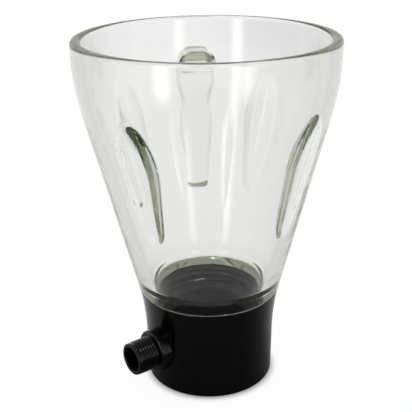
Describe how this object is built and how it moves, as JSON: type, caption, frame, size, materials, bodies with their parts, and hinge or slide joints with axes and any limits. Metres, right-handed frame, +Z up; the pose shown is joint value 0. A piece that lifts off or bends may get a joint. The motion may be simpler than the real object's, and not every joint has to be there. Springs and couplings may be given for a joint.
{
  "type": "blender jar",
  "caption": "Tapered clear glass blender jar with leaf-shaped inner ribs and an open moulded handle, screwed into a black base collar with a threaded side outlet.",
  "frame": {"origin": "on the jar's axis, in the plane of the collar's base ring that the jar stands on", "axes": "+Z up along the jar's axis, +Y towards the handle, -Y the front; the outlet leaves towards -X and -Y"},
  "size_m": [0.15, 0.194, 0.21],
  "materials": {
    "clear_glass": "clear pressed soda-lime glass, faint green in the thick sections",
    "black_plastic": "glossy black moulded plastic",
    "seal_rubber": "dull dark grey rubber"
  },
  "bodies": {
    "root": {"glass_jar": "clear_glass", "base_collar": "black_plastic", "neck_seal": "seal_rubber"}
  },
  "joints": []
}
